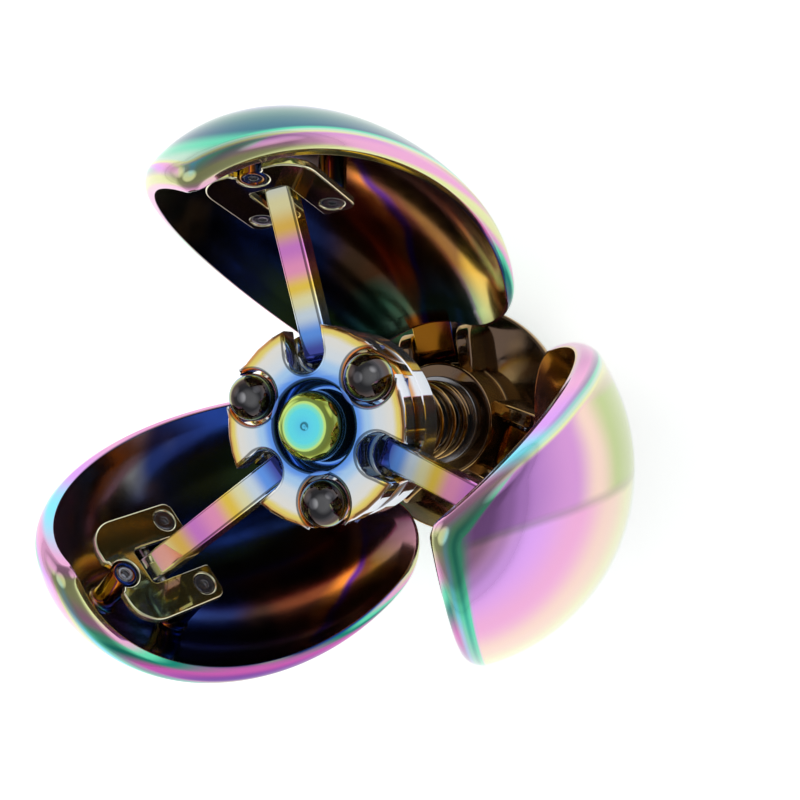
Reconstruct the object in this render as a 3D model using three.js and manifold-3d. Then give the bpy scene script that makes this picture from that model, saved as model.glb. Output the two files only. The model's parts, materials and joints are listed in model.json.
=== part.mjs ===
// Three-petal fidget spinner: an egg of three metal shells that folds open like a flower.
// Millimetres, +Z up. The origin is the middle of the finger pad's flat underside, on the spin axis.
// Petal 0 points along +Y. The model is built with the flower open, its resting state.
import * as THREE from 'three';
import { mergeVertices } from 'three/addons/utils/BufferGeometryUtils.js';
import Module from 'manifold-3d';

const wasm = await Module();
wasm.setup();

// ---- driving dimensions ----
const PETALS = 3;
const FIRST_PETAL_DEG = 90;
const GAP = 0.1;                      // between pieces that are fixed to each other
const RUN = 0.08;                     // radial running clearance at the pivots

const HUB_R = 9.5;
const HUB_FACE_Z = 38.5;              // hub front face when the flower is open
const HUB_FRONT_T = 2.4;
const HUB_REAR_T = 5.5;
const REAR_SLOT_DEPTH = 2.4;          // the strut slots stop part of the way down the rear plate
const HUB_SPLIT = 0.3;                // open groove between the two hub plates
const HUB_BORE_R = 2.6;
const CUP_R = 4.2;                    // counterbore around the pin cap
const CUP_FLOOR_T = 0.35;

const EGG_Z = 29.2;                   // centre of the closed egg
const EGG_A = 26.6;                   // its half height
const EGG_B = 18.4;                   // its radius
const WALL = 1.8;
const PETAL_END_DEG = 141.4;          // polar angle of the petal's lower edge, from the tip
const PETAL_TIP_R = 3;                // fillet of the petal's tip, seen along the axis
const PETAL_CORNER_DEG = 20;          // how far the lower corners are rounded, along the meridian
const SEAM_HALF = 0.2;                // each petal stops this far short of the seam plane
const OPEN_DEG = 23.4;                // each petal's swing from closed to open
const HINGE_R = 8.3;
const HINGE_Z = 6.4;
const HINGE_PIN_R = 0.75;
const KNUCKLE_R = 1.6;
const LUG_HALF_W = 2.4;
const LUG_TOP = { x: 11.6, z: 9.6, r: 0.6 };

const CHEEK_IN = 2.7;
const CHEEK_OUT = 4.5;
const CHEEK_R = 2.2;
const CHEEK_ROOT_X = 5.0;
const BOSS_R = 6.4;
const BOSS_TOP_Z = 10;
const FLANGE_R = 13.2;
const FLANGE_Z = 3.2;
const FLANGE_TOP_Z = 4.5;

const PAD_R = 11.6;
const PAD_TOP_Z = 2.9;
const SHAFT_R = 2.5;
const SHAFT_TOP_Z = 36.4;
const CAP_R = 3.3;
const CAP_FACE_R = 2.1;
const CAP_UNDER_Z = 36.55;
const CAP_TOP_Z = 40.3;
const CAP_SHOULDER_H = 1.4;
const CAP_STEM_R = 1.2;
const CAP_STEM_LEN = 4.6;
const SHAFT_Z = 1.6;                  // the shaft's foot, in the pad's socket
const SOCKET_Z = 1.5;
const NECK = 0.4;                     // clearance of the carrier's neck around the shaft

const BEARING_Z = 3.3;
const BEARING_H = 4;
const BEARING_R = 5;
const RACE_T = 0.75;
const BEARING_BALLS = 8;

const SPRING_R = 4.0;                 // centre line of the coil
const SPRING_WIRE_R = 0.45;
const SPRING_TURNS = 7;
const WASHER_T = 0.5;
const WASHER_R = 4.9;

const BALL_R = 2.35;
const BALL_PITCH_R = 7.2;
const BALL_HOLE_R = 2.6;
const SLOT_HALF_W = 2.0;
const SLOT_END_R = 5.0;               // inner end of the strut slots

const STRUT_IN = { x: 7.1, z: 35.2 };     // strut pivot in the hub
const STRUT_OUT = { x: 22.8, z: 38.7 };   // strut pivot in the petal, flower open
const STRUT_W = 2.75;
const STRUT_END_R = 1.05;
const STRUT_PIN_R = 0.55;
const INNER_PIN_HALF = 3.5;
const OUTER_PIN_HALF = 2.8;

// The bracket plate in the petal, flower open: the line through its screws.
const PRONG = { x: 20.8, z: 36.1, y: 3.85 };
const BRACKET_DEG = 73.6;             // slope of the plate above the horizontal
const BRACKET_LEN = 7.6;              // from the prong screws to the end screw
const BRACKET_T = 0.8;
const BRACKET_HALF_W = 5.7;
const BRACKET_FOOT_Z = -1.7;          // the free ends of the two arms, past the prong screws
const BRACKET_TOP_Z = 9.0;
const BRACKET_FOOT_R = 1.0;           // corner radii of the plate
const BRACKET_TOP_R = 3.0;
const BRACKET_SLOT_END = 5.3;         // square end of the slot that the strut swings through
const NOTCH_R = 1.45;                 // round notch that fits over the end post
const NOTCH_MOUTH = 1.9;
const POST_R = 1.35;
const POST_TIP_R = 1.25;
const SCREW_R = 0.5;
const SCREW_SINK = 0.1;               // how far a countersunk head lies below the face
const SCREW_CONE_H = 0.45;
const SCREW_LEN = 3;

// ---- finishes ----
const finish = (color, roughness) => new THREE.MeshStandardMaterial({ color, roughness, metalness: 1 });
const SHELL = 0xd86fd0;
const COATED = 0x5fb6d8;
const BRONZE = 0x9a6a3a;
const STEEL = 0xb9bcc4;

// ---- small helpers ----
const rad = THREE.MathUtils.degToRad;

function toSolid(geometry) {
  const bare = geometry.clone();
  for (const name of Object.keys(bare.attributes)) {
    if (name !== 'position') bare.deleteAttribute(name);
  }
  const merged = mergeVertices(bare, 1e-4);
  return new wasm.Manifold(new wasm.Mesh({
    numProp: 3,
    vertProperties: new Float32Array(merged.attributes.position.array),
    triVerts: new Uint32Array(merged.index.array),
  }));
}

function toGeometry(solid) {
  const mesh = solid.getMesh();
  const geometry = new THREE.BufferGeometry();
  geometry.setAttribute('position', new THREE.BufferAttribute(new Float32Array(mesh.vertProperties), 3));
  geometry.setIndex(new THREE.BufferAttribute(new Uint32Array(mesh.triVerts), 1));
  geometry.computeVertexNormals();
  return geometry;
}

function join(first, ...others) {
  return toGeometry(others.reduce((sum, g) => sum.add(toSolid(g)), toSolid(first)));
}

function cut(first, ...others) {
  return toGeometry(others.reduce((sum, g) => sum.subtract(toSolid(g)), toSolid(first)));
}

function common(first, second) {
  return toGeometry(toSolid(first).intersect(toSolid(second)));
}

// A turned piece: [radius, height] pairs from the bottom of the axis round to the top of the axis.
function turned(profile, segments = 24) {
  const points = profile.map(([r, z]) => new THREE.Vector2(r, z));
  return new THREE.LatheGeometry(points, segments).rotateX(Math.PI / 2);
}

function ring(rIn, rOut, z0, z1, segments = 24) {
  return turned([[rIn, z0], [rOut, z0], [rOut, z1], [rIn, z1], [rIn, z0]], segments);
}

function disc(r, z0, z1, segments = 24) {
  return turned([[0, z0], [r, z0], [r, z1], [0, z1]], segments);
}

// A round bar along Y, centred on y = 0.
function crossBar(r, halfLength, x, z, segments = 16) {
  return new THREE.CylinderGeometry(r, r, 2 * halfLength, segments).translate(x, 0, z);
}

function block(x0, x1, y0, y1, z0, z1) {
  return new THREE.BoxGeometry(x1 - x0, y1 - y0, z1 - z0)
    .translate((x0 + x1) / 2, (y0 + y1) / 2, (z0 + z1) / 2);
}

// Two round ends joined by their outer tangents, drawn in a plane and extruded, centred on its depth.
function link(a, b, depth) {
  const along = Math.atan2(b.y - a.y, b.x - a.x);
  const lean = Math.acos((a.r - b.r) / Math.hypot(b.x - a.x, b.y - a.y));
  const shape = new THREE.Shape();
  shape.absarc(a.x, a.y, a.r, along + lean, along - lean + 2 * Math.PI, false);
  shape.absarc(b.x, b.y, b.r, along - lean, along + lean, false);
  return new THREE.ExtrudeGeometry(shape, { depth, bevelEnabled: false, curveSegments: 4 })
    .translate(0, 0, -depth / 2);
}

// The same link standing in the XZ plane.
function uprightLink(a, b, width) {
  return link({ x: a.x, y: a.z, r: a.r }, { x: b.x, y: b.z, r: b.r }, width).rotateX(Math.PI / 2);
}

// Turn and shift from the open flower to the closed egg, about the hinge.
const TO_CLOSED = new THREE.Matrix4().makeTranslation(HINGE_R, 0, HINGE_Z)
  .multiply(new THREE.Matrix4().makeRotationY(-rad(OPEN_DEG)))
  .multiply(new THREE.Matrix4().makeTranslation(-HINGE_R, 0, -HINGE_Z));
const TO_OPEN = TO_CLOSED.clone().invert();

// Bracket frame, flower open: x outwards through the plate, y across, z up the plate; origin at the prongs.
const FROM_BRACKET = new THREE.Matrix4().makeTranslation(PRONG.x, 0, PRONG.z)
  .multiply(new THREE.Matrix4().makeRotationY(rad(90 - BRACKET_DEG)));
const SCREW_SPOTS = [
  { name: 'left', y: PRONG.y, z: 0, post: POST_R, postStart: BRACKET_T / 2 + GAP, head: 1.05 },
  { name: 'right', y: -PRONG.y, z: 0, post: POST_R, postStart: BRACKET_T / 2 + GAP, head: 1.05 },
  { name: 'end', y: 0, z: BRACKET_LEN, post: POST_TIP_R, postStart: -BRACKET_T / 2, head: 0.85 },
];

// A turned piece whose axis runs through the plate: [radius, depth behind the plate's front face] pairs.
function turnedThroughPlate(profile, { y, z }, segments) {
  return turned(profile, segments).rotateY(Math.PI / 2).translate(-BRACKET_T / 2, y, z);
}

// The space that a countersunk screw and its clearance take up.
function screwDrill(spot) {
  const wide = spot.head + GAP;
  const narrow = SCREW_R + GAP;
  return turnedThroughPlate([
    [0, -1], [wide, -1], [wide, SCREW_SINK], [narrow, SCREW_SINK + SCREW_CONE_H + GAP],
    [narrow, SCREW_SINK + SCREW_LEN + GAP], [0, SCREW_SINK + SCREW_LEN + GAP],
  ], spot, 12);
}

// ---- the petal ----
// Seen along the axis, the petal's tip is a fillet between its two seam planes.
const SEAM_DEG = 180 / PETALS;
const TIP_MIDDLE = (PETAL_TIP_R + SEAM_HALF) / Math.sin(rad(SEAM_DEG));
const TIP_START = 1.01 * (TIP_MIDDLE - PETAL_TIP_R);
const TIP_END = Math.hypot(
  TIP_MIDDLE - PETAL_TIP_R * Math.sin(rad(SEAM_DEG)), PETAL_TIP_R * Math.cos(rad(SEAM_DEG)));

// Half the petal's width at a distance from the axis, as an azimuth, above the lower corners.
function seamHalfAngle(r) {
  if (r >= TIP_END) return rad(SEAM_DEG) - Math.asin(SEAM_HALF / r);
  return Math.acos((r * r + TIP_MIDDLE ** 2 - PETAL_TIP_R ** 2) / (2 * r * TIP_MIDDLE));
}

// The same at polar angle u, lower corners included.
function petalHalfAngle(u, radius) {
  const end = rad(PETAL_END_DEG);
  const corner = rad(PETAL_CORNER_DEG);
  const full = seamHalfAngle(radius * Math.sin(u));
  const past = (u - (end - corner)) / corner;
  if (past <= 0) return full;
  const inset = corner / Math.sin(end - corner / 2);
  return full - inset * (1 - Math.sqrt(Math.max(0, 1 - past * past)));
}

// The polar angles of the shell's rows, closer together round the tip and the lower corners.
function petalRows() {
  const rows = [];
  const tipRows = 3;
  for (let i = 0; i < tipRows; i += 1) {
    rows.push(Math.asin((TIP_START + (TIP_END - TIP_START) * (i / tipRows) ** 2) / (EGG_B - WALL)));
  }
  const tip = Math.asin(TIP_END / (EGG_B - WALL));
  const end = rad(PETAL_END_DEG);
  const corner = rad(PETAL_CORNER_DEG);
  const straight = 9;
  for (let i = 0; i <= straight; i += 1) {
    rows.push(tip + (end - corner - tip) * i / straight);
  }
  const round = 4;
  for (let i = 1; i <= round; i += 1) {
    rows.push(end - corner + corner * Math.sin(Math.PI / 2 * i / round));
  }
  return rows;
}

// The bare shell as one closed sheet with thickness: rows down the meridian, columns across.
function petalShell() {
  const rows = petalRows();
  const columns = 10;
  const positions = [];
  for (const inset of [0, WALL]) {
    for (const u of rows) {
      const half = petalHalfAngle(u, EGG_B - inset);
      for (let j = 0; j <= columns; j += 1) {
        const t = half * (2 * j / columns - 1);
        const r = (EGG_B - inset) * Math.sin(u);
        positions.push(r * Math.cos(t), r * Math.sin(t), EGG_Z + (EGG_A - inset) * Math.cos(u));
      }
    }
  }
  const width = columns + 1;
  const layer = rows.length * width;
  const at = (k, i, j) => k * layer + i * width + j;
  const index = [];
  const quad = (a, b, c, d) => index.push(a, b, c, a, c, d);
  for (let i = 0; i < rows.length - 1; i += 1) {
    for (let j = 0; j < columns; j += 1) {
      quad(at(0, i, j), at(0, i + 1, j), at(0, i + 1, j + 1), at(0, i, j + 1));
      quad(at(1, i, j), at(1, i, j + 1), at(1, i + 1, j + 1), at(1, i + 1, j));
    }
    quad(at(0, i, 0), at(1, i, 0), at(1, i + 1, 0), at(0, i + 1, 0));
    quad(at(0, i, columns), at(0, i + 1, columns), at(1, i + 1, columns), at(1, i, columns));
  }
  const last = rows.length - 1;
  for (let j = 0; j < columns; j += 1) {
    quad(at(0, 0, j), at(0, 0, j + 1), at(1, 0, j + 1), at(1, 0, j));
    quad(at(0, last, j), at(1, last, j), at(1, last, j + 1), at(0, last, j + 1));
  }
  const geometry = new THREE.BufferGeometry();
  geometry.setAttribute('position', new THREE.Float32BufferAttribute(positions, 3));
  geometry.setIndex(index);
  return geometry;
}

// Posts that carry the bracket, from the plate's back to the middle of the wall.
function petalPosts() {
  const reach = new THREE.SphereGeometry(1, 36, 24).rotateX(Math.PI / 2)
    .scale(EGG_B - WALL / 2, EGG_B - WALL / 2, EGG_A - WALL / 2).translate(0, 0, EGG_Z);
  const pastTheWall = EGG_B;
  return SCREW_SPOTS.map((spot) => {
    const start = spot.postStart + BRACKET_T / 2;
    const bar = turnedThroughPlate(
      [[0, start], [spot.post, start], [spot.post, pastTheWall], [0, pastTheWall]], spot, 12);
    return common(bar.applyMatrix4(FROM_BRACKET).applyMatrix4(TO_CLOSED), reach);
  });
}

function petalGeometry() {
  const lug = uprightLink({ x: HINGE_R, z: HINGE_Z, r: KNUCKLE_R }, LUG_TOP, 2 * LUG_HALF_W);
  const whole = join(petalShell(), lug, ...petalPosts());
  const eye = crossBar(HINGE_PIN_R + RUN, LUG_HALF_W + 1, HINGE_R, HINGE_Z);
  const drills = SCREW_SPOTS.map((spot) => screwDrill(spot)
    .applyMatrix4(FROM_BRACKET).applyMatrix4(TO_CLOSED));
  return cut(whole, eye, ...drills).applyMatrix4(TO_OPEN);
}

// ---- the bracket plate and its screws ----
// The plate's outline, drawn with y across and the plate's own z as its height: two arms with round
// corners, a square slot between them for the strut, and a notch in the top for the end post.
function bracketOutline() {
  const wide = BRACKET_HALF_W;
  const mouthAngle = Math.atan2(BRACKET_TOP_Z - BRACKET_LEN, NOTCH_MOUTH);
  const foot = { x: wide - BRACKET_FOOT_R, y: BRACKET_FOOT_Z + BRACKET_FOOT_R };
  const top = { x: wide - BRACKET_TOP_R, y: BRACKET_TOP_Z - BRACKET_TOP_R };
  const quarter = Math.PI / 2;
  const shape = new THREE.Shape();
  shape.moveTo(SLOT_HALF_W, BRACKET_FOOT_Z);
  shape.absarc(foot.x, foot.y, BRACKET_FOOT_R, -quarter, 0, false);
  shape.absarc(top.x, top.y, BRACKET_TOP_R, 0, quarter, false);
  shape.lineTo(NOTCH_MOUTH, BRACKET_TOP_Z);
  shape.absarc(0, BRACKET_LEN, NOTCH_R, mouthAngle, Math.PI - mouthAngle, true);
  shape.lineTo(-NOTCH_MOUTH, BRACKET_TOP_Z);
  shape.absarc(-top.x, top.y, BRACKET_TOP_R, quarter, 2 * quarter, false);
  shape.absarc(-foot.x, foot.y, BRACKET_FOOT_R, 2 * quarter, 3 * quarter, false);
  shape.lineTo(-SLOT_HALF_W, BRACKET_FOOT_Z);
  shape.lineTo(-SLOT_HALF_W, BRACKET_SLOT_END);
  shape.lineTo(SLOT_HALF_W, BRACKET_SLOT_END);
  return shape;
}

function bracketGeometry() {
  const flat = new THREE.ExtrudeGeometry(bracketOutline(),
    { depth: BRACKET_T, bevelEnabled: false, curveSegments: 6 }).translate(0, 0, -BRACKET_T / 2);
  // drawn in XY: turn it to stand in the bracket frame's YZ plane
  flat.applyMatrix4(new THREE.Matrix4().makeBasis(
    new THREE.Vector3(0, 1, 0), new THREE.Vector3(0, 0, 1), new THREE.Vector3(1, 0, 0)));
  const drills = SCREW_SPOTS.filter(({ y }) => y !== 0).map(screwDrill);
  return cut(flat, ...drills).applyMatrix4(FROM_BRACKET);
}

function screwGeometry(spot) {
  const cone = SCREW_SINK + SCREW_CONE_H;
  const end = SCREW_SINK + SCREW_LEN;
  return turnedThroughPlate([
    [0, SCREW_SINK], [spot.head, SCREW_SINK], [SCREW_R, cone], [SCREW_R, end], [0, end],
  ], spot, 12).applyMatrix4(FROM_BRACKET);
}

// ---- strut and its pins ----
function strutGeometry() {
  const bar = uprightLink({ ...STRUT_IN, r: STRUT_END_R }, { ...STRUT_OUT, r: STRUT_END_R }, STRUT_W);
  const eyes = [STRUT_IN, STRUT_OUT].map(({ x, z }) => crossBar(STRUT_PIN_R + RUN, STRUT_W, x, z, 14));
  return cut(bar, ...eyes);
}

// ---- the hub ----
function azimuths(offsetDeg = 0) {
  return Array.from({ length: PETALS }, (_, i) => rad(360 / PETALS * i + offsetDeg));
}

function strutSlot(endR, z0, z1) {
  const round = disc(SLOT_HALF_W, z0, z1, 24).translate(endR + SLOT_HALF_W, 0, 0);
  return join(round, block(endR + SLOT_HALF_W, HUB_R + 2, -SLOT_HALF_W, SLOT_HALF_W, z0, z1));
}

function hubFront() {
  const under = HUB_FACE_Z - HUB_FRONT_T;
  const floor = under + CUP_FLOOR_T;
  const body = turned([
    [HUB_BORE_R, under], [HUB_R - 0.7, under], [HUB_R - 0.1, under + 0.7], [HUB_R, HUB_FACE_Z - 0.8],
    [HUB_R - 0.8, HUB_FACE_Z], [CUP_R + 0.25, HUB_FACE_Z], [CUP_R, HUB_FACE_Z - 0.25], [CUP_R, floor],
    [HUB_BORE_R, floor], [HUB_BORE_R, under],
  ], 48);
  const slots = azimuths().map((a) => strutSlot(SLOT_END_R, under - 1, HUB_FACE_Z + 1).rotateZ(a));
  const pockets = azimuths(180 / PETALS).map((a) => disc(BALL_HOLE_R, under - 1, HUB_FACE_Z + 1, 28)
    .translate(BALL_PITCH_R, 0, 0).rotateZ(a));
  return cut(body, ...slots, ...pockets);
}

function hubRear() {
  const top = HUB_FACE_Z - HUB_FRONT_T - HUB_SPLIT;
  const under = top - HUB_REAR_T;
  const body = turned([
    [HUB_BORE_R, under], [HUB_R - 1.2, under], [HUB_R - 0.4, under + 0.8], [HUB_R - 0.4, top - 0.7],
    [HUB_R - 1.1, top], [HUB_BORE_R, top], [HUB_BORE_R, under],
  ], 48);
  const slots = azimuths().map((a) => strutSlot(
    SLOT_END_R + 0.4, top - REAR_SLOT_DEPTH, top + 1).rotateZ(a));
  const seats = azimuths().map((a) => block(
    STRUT_IN.x - STRUT_PIN_R - GAP, STRUT_IN.x + STRUT_PIN_R + GAP,
    -INNER_PIN_HALF - GAP, INNER_PIN_HALF + GAP, STRUT_IN.z - STRUT_PIN_R - GAP, top + 1).rotateZ(a));
  return cut(body, ...slots, ...seats);
}

// ---- the carrier that the petals hinge on ----
function carrier() {
  const body = turned([
    [BEARING_R + GAP, FLANGE_Z], [FLANGE_R - 0.3, FLANGE_Z], [FLANGE_R, FLANGE_Z + 0.3],
    [FLANGE_R, FLANGE_TOP_Z - 0.3], [FLANGE_R - 0.3, FLANGE_TOP_Z], [BOSS_R, FLANGE_TOP_Z],
    [BOSS_R, BOSS_TOP_Z - 0.5], [BOSS_R - 0.5, BOSS_TOP_Z], [SHAFT_R + NECK, BOSS_TOP_Z],
    [SHAFT_R + NECK, BEARING_Z + BEARING_H + GAP], [BEARING_R + GAP, BEARING_Z + BEARING_H + GAP],
    [BEARING_R + GAP, FLANGE_Z],
  ], 36);
  const cheeks = [];
  for (const a of azimuths()) {
    for (const side of [1, -1]) {
      const middle = side * (CHEEK_IN + CHEEK_OUT) / 2;
      const halfWidth = (CHEEK_OUT - CHEEK_IN) / 2;
      const foot = block(CHEEK_ROOT_X, HINGE_R + CHEEK_R, middle - halfWidth, middle + halfWidth,
        FLANGE_TOP_Z - 0.5, HINGE_Z);
      const back = block(CHEEK_ROOT_X, HINGE_R, middle - halfWidth, middle + halfWidth,
        FLANGE_TOP_Z - 0.5, HINGE_Z + CHEEK_R);
      const nose = crossBar(CHEEK_R, halfWidth, HINGE_R, HINGE_Z, 16).translate(0, middle, 0);
      cheeks.push(join(foot, back, nose).rotateZ(a));
    }
  }
  const eye = crossBar(HINGE_PIN_R + GAP, CHEEK_OUT + 1, HINGE_R, HINGE_Z, 12);
  const eyes = azimuths().map((a) => eye.clone().rotateZ(a));
  const bore = disc(BEARING_R + GAP, FLANGE_Z - 1, BEARING_Z + BEARING_H + GAP, 36);
  const neck = disc(SHAFT_R + NECK, 0, BOSS_TOP_Z + 1, 36);
  return cut(join(body, ...cheeks), ...eyes, bore, neck);
}

// ---- bearing, spring, shaft ----
function bearingCage() {
  const middleR = (BEARING_R + SHAFT_R) / 2 + GAP / 2;
  const gapHalf = (BEARING_R - SHAFT_R) / 2 - RACE_T - 0.12;
  const middleZ = BEARING_Z + BEARING_H / 2;
  const cage = ring(middleR - gapHalf * 0.6, middleR + gapHalf * 0.6, middleZ - 0.2, middleZ + 0.2, 24);
  const balls = Array.from({ length: BEARING_BALLS }, (_, i) => new THREE.SphereGeometry(gapHalf, 6, 4)
    .translate(middleR, 0, middleZ).rotateZ(rad(360 / BEARING_BALLS * i)));
  return join(cage, ...balls);
}

class Coil extends THREE.Curve {
  constructor(radius, z0, z1, turns) {
    super();
    Object.assign(this, { radius, z0, z1, turns });
  }

  // Nearly flat first and last turns, evenly wound between them.
  getPoint(t, target = new THREE.Vector3()) {
    const angle = 2 * Math.PI * this.turns * t;
    const flat = 1 / this.turns;
    const lead = 0.3 * flat;
    const middle = (t - flat) / (1 - 2 * flat);
    let height = lead + (1 - 2 * lead) * middle;
    if (t < flat) height = 0.3 * t;
    if (t > 1 - flat) height = 1 - 0.3 * (1 - t);
    return target.set(this.radius * Math.cos(angle), this.radius * Math.sin(angle),
      this.z0 + (this.z1 - this.z0) * height);
  }
}

const SPRING_Z0 = BOSS_TOP_Z + WASHER_T + GAP;
const SPRING_Z1 = HUB_FACE_Z - HUB_FRONT_T - HUB_SPLIT - HUB_REAR_T - WASHER_T - GAP;

function spring() {
  const wire = new THREE.Shape();
  wire.absarc(0, 0, SPRING_WIRE_R, 0, 2 * Math.PI, false);
  const inset = SPRING_WIRE_R + GAP;
  const path = new Coil(SPRING_R, SPRING_Z0 + inset, SPRING_Z1 - inset, SPRING_TURNS);
  return new THREE.ExtrudeGeometry(wire, {
    steps: SPRING_TURNS * 12, curveSegments: 3, extrudePath: path, bevelEnabled: false,
  });
}

function shaft() {
  const socketR = CAP_STEM_R + 0.15;
  const socketZ = SHAFT_TOP_Z - CAP_STEM_LEN - 0.4;
  return turned([
    [0, SHAFT_Z], [SHAFT_R - 0.4, SHAFT_Z], [SHAFT_R, SHAFT_Z + 0.4], [SHAFT_R, SHAFT_TOP_Z],
    [socketR, SHAFT_TOP_Z], [socketR, socketZ], [0, socketZ],
  ]);
}

function pinCap() {
  const shoulder = Array.from({ length: 5 }, (_, i) => {
    const a = Math.PI / 2 * i / 4;
    return [CAP_FACE_R + (CAP_R - CAP_FACE_R) * Math.cos(a), CAP_TOP_Z - CAP_SHOULDER_H * (1 - Math.sin(a))];
  });
  const stemZ = SHAFT_TOP_Z - CAP_STEM_LEN;
  return turned([
    [0, stemZ], [CAP_STEM_R, stemZ], [CAP_STEM_R, CAP_UNDER_Z], [CAP_R, CAP_UNDER_Z],
    ...shoulder, [0.35, CAP_TOP_Z], [0, CAP_TOP_Z - 0.2],
  ], 24);
}

function fingerPad() {
  return turned([
    [0, 0], [PAD_R - 0.8, 0], [PAD_R, 0.8], [PAD_R, PAD_TOP_Z - 0.6], [PAD_R - 0.6, PAD_TOP_Z],
    [SHAFT_R + GAP, PAD_TOP_Z], [SHAFT_R + GAP, SOCKET_Z], [0, SOCKET_Z],
  ], 36);
}

// ---- assembly ----
const group = new THREE.Group();

function add(parent, name, geometry, color, roughness) {
  const mesh = new THREE.Mesh(geometry, finish(color, roughness));
  mesh.name = name;
  parent.add(mesh);
  return mesh;
}

add(group, 'finger_pad', fingerPad(), SHELL, 0.08);
add(group, 'shaft', shaft(), STEEL, 0.15);
add(group, 'pin_cap', pinCap(), COATED, 0.06);
add(group, 'bearing_inner_race',
  ring(SHAFT_R + GAP, SHAFT_R + GAP + RACE_T, BEARING_Z, BEARING_Z + BEARING_H), STEEL, 0.15);
add(group, 'bearing_outer_race', ring(BEARING_R - RACE_T, BEARING_R, BEARING_Z, BEARING_Z + BEARING_H),
  STEEL, 0.15);
add(group, 'bearing_balls', bearingCage(), STEEL, 0.1);
add(group, 'carrier', carrier().rotateZ(rad(FIRST_PETAL_DEG)), BRONZE, 0.1);
add(group, 'lower_spring_washer', ring(SHAFT_R + GAP, WASHER_R, BOSS_TOP_Z + GAP / 2, SPRING_Z0), STEEL, 0.2);
add(group, 'upper_spring_washer', ring(SHAFT_R + GAP, WASHER_R, SPRING_Z1, SPRING_Z1 + WASHER_T), STEEL, 0.2);
add(group, 'spring', spring(), BRONZE, 0.15);
add(group, 'hub_front_plate', hubFront().rotateZ(rad(FIRST_PETAL_DEG)), COATED, 0.06);
add(group, 'hub_rear_plate', hubRear().rotateZ(rad(FIRST_PETAL_DEG)), COATED, 0.06);

const bracket = bracketGeometry();
const petal = petalGeometry();
const strut = strutGeometry();
const ballZ = HUB_FACE_Z - HUB_FRONT_T - HUB_SPLIT + BALL_R + GAP;
for (let i = 0; i < PETALS; i += 1) {
  const letter = 'abc'[i];
  const arm = new THREE.Group();
  arm.rotation.z = rad(FIRST_PETAL_DEG + 360 / PETALS * i);
  group.add(arm);
  add(arm, `petal_${letter}`, petal.clone(), SHELL, 0.05);
  add(arm, `bracket_${letter}`, bracket.clone(), COATED, 0.08);
  for (const spot of SCREW_SPOTS) {
    add(arm, `bracket_screw_${letter}_${spot.name}`, screwGeometry(spot), STEEL, 0.2);
  }
  add(arm, `strut_${letter}`, strut.clone(), COATED, 0.06);
  add(arm, `strut_inner_pin_${letter}`,
    crossBar(STRUT_PIN_R, INNER_PIN_HALF, STRUT_IN.x, STRUT_IN.z), STEEL, 0.15);
  add(arm, `strut_outer_pin_${letter}`,
    crossBar(STRUT_PIN_R, OUTER_PIN_HALF, STRUT_OUT.x, STRUT_OUT.z), STEEL, 0.15);
  add(arm, `hinge_pin_${letter}`, crossBar(HINGE_PIN_R, CHEEK_OUT - 0.1, HINGE_R, HINGE_Z), STEEL, 0.15);
  const seam = new THREE.Group();
  seam.rotation.z = rad(180 / PETALS);
  arm.add(seam);
  const ball = add(seam, `hub_ball_${letter}`, new THREE.SphereGeometry(BALL_R, 14, 10), STEEL, 0.04);
  ball.position.set(BALL_PITCH_R, 0, ballZ);
}

export default group;
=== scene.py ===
"""A folding flower fidget spinner in mirror-polished, rainbow-coated metal, on a pale studio floor.

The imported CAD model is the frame. Each visible piece is rebuilt here as a fine mesh in the same place
and rides on the same body. Lengths are in metres; a petal's own frame has x outwards, y across, z up.
"""
import json
import math

import bmesh
import bpy
import numpy as np
from mathutils import Matrix, Vector


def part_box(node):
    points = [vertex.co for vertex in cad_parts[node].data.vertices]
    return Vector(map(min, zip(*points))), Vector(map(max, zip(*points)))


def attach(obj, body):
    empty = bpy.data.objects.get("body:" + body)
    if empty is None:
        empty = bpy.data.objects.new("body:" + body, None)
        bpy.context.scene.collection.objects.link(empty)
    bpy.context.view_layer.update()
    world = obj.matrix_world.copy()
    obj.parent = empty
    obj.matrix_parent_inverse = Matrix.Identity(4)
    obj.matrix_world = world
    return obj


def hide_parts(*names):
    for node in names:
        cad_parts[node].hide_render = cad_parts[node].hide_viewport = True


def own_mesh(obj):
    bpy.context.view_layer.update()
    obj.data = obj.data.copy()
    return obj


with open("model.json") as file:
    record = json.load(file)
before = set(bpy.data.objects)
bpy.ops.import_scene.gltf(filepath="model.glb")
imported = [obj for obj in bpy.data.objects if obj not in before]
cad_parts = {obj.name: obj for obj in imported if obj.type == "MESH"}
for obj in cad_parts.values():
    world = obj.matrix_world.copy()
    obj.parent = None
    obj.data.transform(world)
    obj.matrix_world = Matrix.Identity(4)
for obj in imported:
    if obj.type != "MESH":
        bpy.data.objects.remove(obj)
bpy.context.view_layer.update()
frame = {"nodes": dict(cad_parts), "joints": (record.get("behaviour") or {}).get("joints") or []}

MM = 0.001
SAME_PLACE = 1e-7                   # points closer than this are one point
SIDES = "abc"
PETALS = len(SIDES)

# ---- sizes repeated from the CAD model ----
HUB_R = 9.5 * MM
HUB_FACE_Z = 38.5 * MM
HUB_FRONT_T = 2.4 * MM
HUB_REAR_T = 5.5 * MM
REAR_SLOT_DEPTH = 2.4 * MM
HUB_SPLIT_Z = 35.95 * MM
EGG_Z = 29.2 * MM
EGG_A = 26.6 * MM
EGG_B = 18.4 * MM
WALL = 1.8 * MM
PETAL_END = math.radians(141.4)
PETAL_CORNER = math.radians(20)
PETAL_TIP_R = 3 * MM
SEAM_HALF = 0.2 * MM
SEAM = math.pi / PETALS
OPEN = math.radians(23.4)
HINGE = Vector((8.3 * MM, 0, 6.4 * MM))
KNUCKLE_R = 1.6 * MM
LUG_HALF_W = 2.4 * MM
LUG_TOP = (11.6 * MM, 9.6 * MM, 0.6 * MM)
HINGE_PIN_R = 0.75 * MM
HINGE_PIN_HALF = 4.4 * MM
CHEEK_R = 2.2 * MM
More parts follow.
